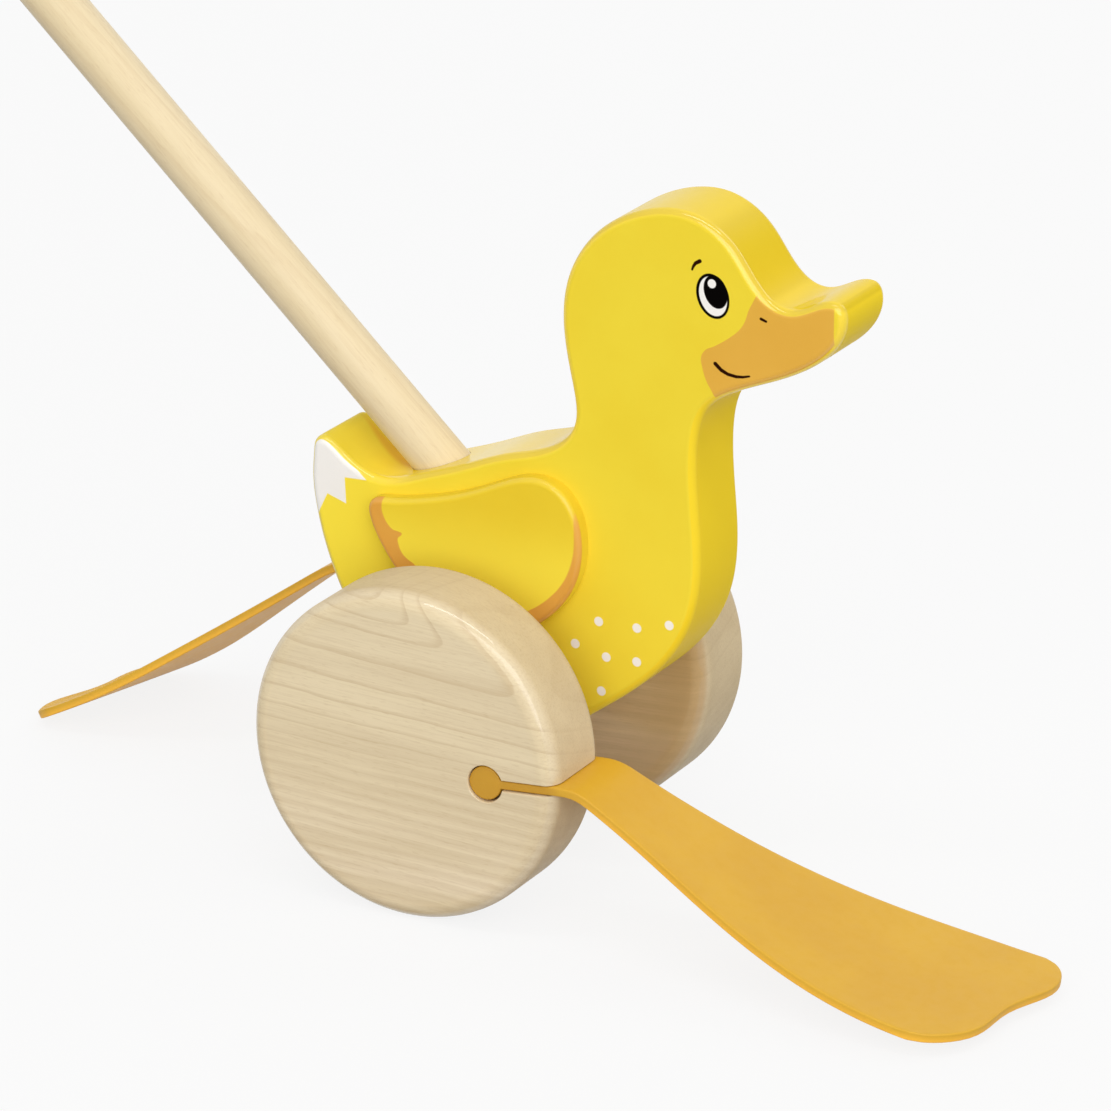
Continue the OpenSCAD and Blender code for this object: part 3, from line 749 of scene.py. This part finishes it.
def rubber():
    """Smooth moulded rubber: an even amber orange with faint clouding and a fine skin, with painted
    light that makes it brighter underneath, and darker at the bead's end."""
    finish, shader, x, y, z = new_finish("foot_rubber", Coat_Roughness=0.4, Specular_IOR_Level=0.35)
    cloud = noise(x, y, z, 0.05, 3.0)
    skin = noise(x, y, z, 2.2, 2.0)
    dust = noise(x, y, z, 0.35, 4.0, 0.65)
    colour = cloud.drift().over(RUBBER, RUBBER_DEEP)
    # Painted light: the lower skin past the slot is brighter
    below = x.node("ShaderNodeAttribute", {"attribute_name": "underside"}, None, "Fac")
    # Darker at the bead's end in the keyhole
    bead_end = abs(y).rise(HUB + 9.9, HUB + 10.3) * abs(x).rise(40, 36)
    for cover, tint in ((dust.rise(0.5, 0.8) * 0.12, RUBBER_DUST), (below, RUBBER_PAINTED_LIGHT),
                        (bead_end * 0.55, RUBBER_BEAD_END)):
        colour = cover.over(colour, tint)
    feed(shader, Base_Color=colour, Roughness=dust.drift((0.44, 0.54)),
         Coat_Weight=cloud.drift((0.05, 0.12)), Normal=bump(skin * 0.5 + dust * 0.5, 0.02))
    return finish


# Pieces

def place(piece, finish, slot, node, body):
    """A finished piece: its material, a slot name that is not used, the solid that it stands for and
    the body that it moves with, if it moves with only one."""
    piece.data.materials.clear()
    piece.data.materials.append(finish)
    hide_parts(node)
    if body:
        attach(piece, body)


axle_bore = rod_profile(BOARD_T + 2 * BORE_SPARE, BORE_R, BORE_EDGE)
axle_hole = turned("axle_hole", (0, -SIDE - BORE_SPARE, 0), (0, 1, 0), axle_bore, FULL_ROUND)
stick_bore = rod_profile(SOCKET_DEPTH * 2, SOCKET_R, BORE_EDGE)
stick_hole = turned("stick_hole", stick_foot, stick_way, stick_bore, FINE_ROUND)
duck_loop = smooth_loop(SILHOUETTE, DUCK_STEPS)
duck = board("duck_board", duck_loop, -SIDE, SIDE, BOARD_EDGE, BOARD_EDGE)
place(crisp(drilled(duck, axle_hole, stick_hole)), duck_paint(), "yellow_paint", "duck_body", "duck")

amber = wing_paint()
wing_loop = smooth_loop(WING_OUTLINE, WING_STEPS)
right_wing = board("right_wing", wing_loop, -SIDE - WING_T, -SIDE, WING_EDGE, 0)
left_wing = board("left_wing", wing_loop, SIDE, SIDE + WING_T, 0, WING_EDGE)
place(crisp(right_wing), amber, "wing_paint", "wing_right", "duck")
place(crisp(left_wing), amber, "wing_paint", "wing_left", "duck")

right_wheel = wheel("right_wheel", RIGHT, RIGHT_TURN)
left_wheel = wheel("left_wheel", LEFT, LEFT_TURN)
place(right_wheel, wheel_wood("right_maple", RIGHT, 1), "wheel_wood", "wheel_right", "wheelset")
place(left_wheel, wheel_wood("left_maple", LEFT, -1), "wheel_wood", "wheel_left", "wheelset")

beech = axle_wood()
pin = rod_profile(2 * AXLE_END, AXLE_R, AXLE_EDGE)
axle = turned("axle_pin", (0, -AXLE_END, 0), (0, 1, 0), pin, PLAIN_ROUND)
place(axle, beech, "axle_wood", "axle", "wheelset")
ring = np.concatenate([rod_profile(SPACER_LEN, SPACER_R, SPACER_EDGE),
                       [(SPACER_LEN, GLUE_R), (0, GLUE_R)]])
for side, node in ((RIGHT, "spacer_right"), (LEFT, "spacer_left")):
    base = (0, side * (HUB - WHEEL_HALF), 0)
    spacer = turned(node + "_ring", base, (0, -side, 0), ring, FULL_ROUND, True)
    place(crisp(spacer), beech, "axle_wood", node, "wheelset")

stick_maple = stick_wood("stick_maple", STICK_PALE, STICK_MID, STICK_DARK, 0.22)
knob_maple = stick_wood("knob_maple", KNOB_PALE, KNOB_MID, KNOB_DARK, 0.3)
rod = rod_profile(STICK_LEN, STICK_R, STICK_EDGE)
stick = turned("stick_rod", stick_foot, stick_way, rod, FULL_ROUND)
place(crisp(stick), stick_maple, "stick_wood", "push_stick", "duck")
# The ball's profile: the flat at the stick's end, the socket's wall, and a circle round to the far pole
ball_at, mouth = STICK_LEN - KNOB_GRIP + KNOB_R, math.asin(SOCKET_R / KNOB_R)
sweep = np.linspace(math.pi - mouth, POLE_ANGLE, BALL_ROWS)
ball = np.concatenate([[(STICK_LEN, POLE_R), (STICK_LEN, SOCKET_R)],
                       np.stack([ball_at + KNOB_R * np.cos(sweep), KNOB_R * np.sin(sweep)], 1)])
knob = turned("knob_ball", stick_foot, stick_way, ball, FULL_ROUND)
place(crisp(knob), knob_maple, "stick_wood", "stick_knob", "duck")

foot_rubber = rubber()
for side, turn, hang, node, body in ((RIGHT, RIGHT_TURN, RIGHT_HANG, "foot_right", "right_foot"),
                                     (LEFT, LEFT_TURN, LEFT_HANG, "foot_left", "left_foot")):
    web = foot(node + "_web", side, turn, hang)
    place(web, foot_rubber, "foot_rubber", node, None)
    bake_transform(web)


# Stage, light and camera, in metres
FLOOR_HALF = 4.0
# The floor's even tone, its brightness as seen and as it lights the object, and the even tone's share
FLOOR_TONE, FLOOR_BRIGHT, FLOOR_DIM, FLOOR_EVEN = 0.975, 0.86, 0.44, 0.88
WORLD_SEEN, WORLD_LIGHT = 1.0, 0.5
# Where the lamps aim, and each lamp's place, width, height, power and whether a highlight shows it
AIM = (0.03, 0, 0.08)
LAMPS = [
    ("front", (1.038, -1.92, 1.112), 2.6, 2.0, 39.5, True),
    ("top", (0.17, -0.42, 1.41), 1.2, 0.16, 3.6, True),
    ("back", (0.72, 0.85, 0.95), 0.3, 1.0, 1.9, True),
    ("fill", (-0.78, 1.95, 0.52), 2.4, 0.8, 16.0, False)]
# The camera's turn and height in degrees, its focal length and picture in pixels, and its place in
# millimetres
CAMERA_AROUND, CAMERA_RAISED, CAMERA_FOCAL, CAMERA_PICTURE = 28.03, 19.92, 6001.0, 1111.0
CAMERA_RIGHT, CAMERA_UP, CAMERA_BACK = 11.75, 29.95, 1343.84


def seen_directly(tree):
    """1 for light that the camera, a mirror or glass looks along, and 0 for light on the object."""
    path = Wire(tree, None).node("ShaderNodeLightPath")
    kinds = ("Is Camera Ray", "Is Glossy Ray", "Is Transmission Ray")
    by_eye, by_mirror, by_glass = (path.other(kind) for kind in kinds)
    return (by_eye + by_mirror + by_glass).least(1)


def stage_floor():
    """A wide pale floor. It gives less light back to the object than it shows: the camera and
    mirrors see it mostly at its own even tone, with the object's soft shadow."""
    h = FLOOR_HALF
    mesh = bpy.data.meshes.new("floor")
    mesh.from_pydata([(-h, -h, 0), (h, -h, 0), (h, h, 0), (-h, h, 0)], [], [(0, 1, 2, 3)])
    floor = bpy.data.objects.new("floor", mesh)
    bpy.context.scene.collection.objects.link(floor)
    finish = bpy.data.materials.new("pale_floor")
    finish.use_nodes = True
    tree = finish.node_tree
    tree.nodes.clear()
    seen = seen_directly(tree)
    tone = seen.rise(0, 1, (FLOOR_DIM, FLOOR_BRIGHT))
    matte = seen.node("ShaderNodeBsdfDiffuse", None, {"Color": tone})
    even = seen.node("ShaderNodeEmission", None,
                     {"Color": (FLOOR_TONE, FLOOR_TONE, FLOOR_TONE, 1), "Strength": 1.0})
    mixed = seen.node("ShaderNodeMixShader", None, {0: seen * FLOOR_EVEN, 1: matte, 2: even})
    tree.links.new(mixed.socket, tree.nodes.new("ShaderNodeOutputMaterial").inputs["Surface"])
    mesh.materials.append(finish)


def studio_world():
    """An even surround: plain light on the object, and white where the camera or a mirror sees
    it."""
    world = bpy.data.worlds.new("studio")
    bpy.context.scene.world = world
    world.use_nodes = True
    tree = world.node_tree
    shade = next(n for n in tree.nodes if n.type == "BACKGROUND")
    shade.inputs["Color"].default_value = (1, 1, 1, 1)
    strength = seen_directly(tree).rise(0, 1, (WORLD_LIGHT, WORLD_SEEN))
    tree.links.new(strength.socket, shade.inputs["Strength"])


def stand(thing, right, up, back, spot):
    """A lamp or camera at a spot, with its own right, up and back directions."""
    bpy.context.scene.collection.objects.link(thing)
    turn = np.eye(4)
    turn[:3, 0], turn[:3, 1], turn[:3, 2], turn[:3, 3] = right, up, back, spot
    thing.matrix_world = Matrix(turn.tolist())


def softbox(name, spot, width, height, power, mirrored):
    """A rectangular lamp that faces the toy. One that isn't mirrored leaves no highlight."""
    lamp = bpy.data.lights.new(name, "AREA")
    lamp.shape, lamp.size, lamp.size_y, lamp.energy = "RECTANGLE", width, height, power
    box = bpy.data.objects.new(name, lamp)
    box.visible_glossy = mirrored
    spot, target = np.array(spot, float), np.array(AIM, float)
    back = (spot - target) / np.linalg.norm(spot - target)
    right = np.cross([0, 0, 1], back)
    right /= np.linalg.norm(right)
    stand(box, right, np.cross(back, right), back, spot)


def camera():
    """The photograph's camera: round from straight-on to the right side, raised, with a long
    lens."""
    around, raised = math.radians(CAMERA_AROUND), math.radians(CAMERA_RAISED)
    right = np.array([math.cos(around), math.sin(around), 0])
    back = np.array([math.sin(around) * math.cos(raised), -math.cos(around) * math.cos(raised),
                     math.sin(raised)])
    up = np.cross(back, right)
    spot = CAMERA_RIGHT * right + CAMERA_UP * up + CAMERA_BACK * back + [0, 0, WHEEL_R]
    lens = bpy.data.cameras.new("camera")
    lens.sensor_width = 36.0
    lens.lens = lens.sensor_width * CAMERA_FOCAL / CAMERA_PICTURE
    lens.clip_start, lens.clip_end = 0.05, 50
    eye = bpy.data.objects.new("camera", lens)
    stand(eye, right, up, back, spot * MM)
    bpy.context.scene.camera = eye


stage_floor()
studio_world()
for lamp in LAMPS:
    softbox(*lamp)
camera()
bpy.context.scene.view_settings.view_transform = "Standard"
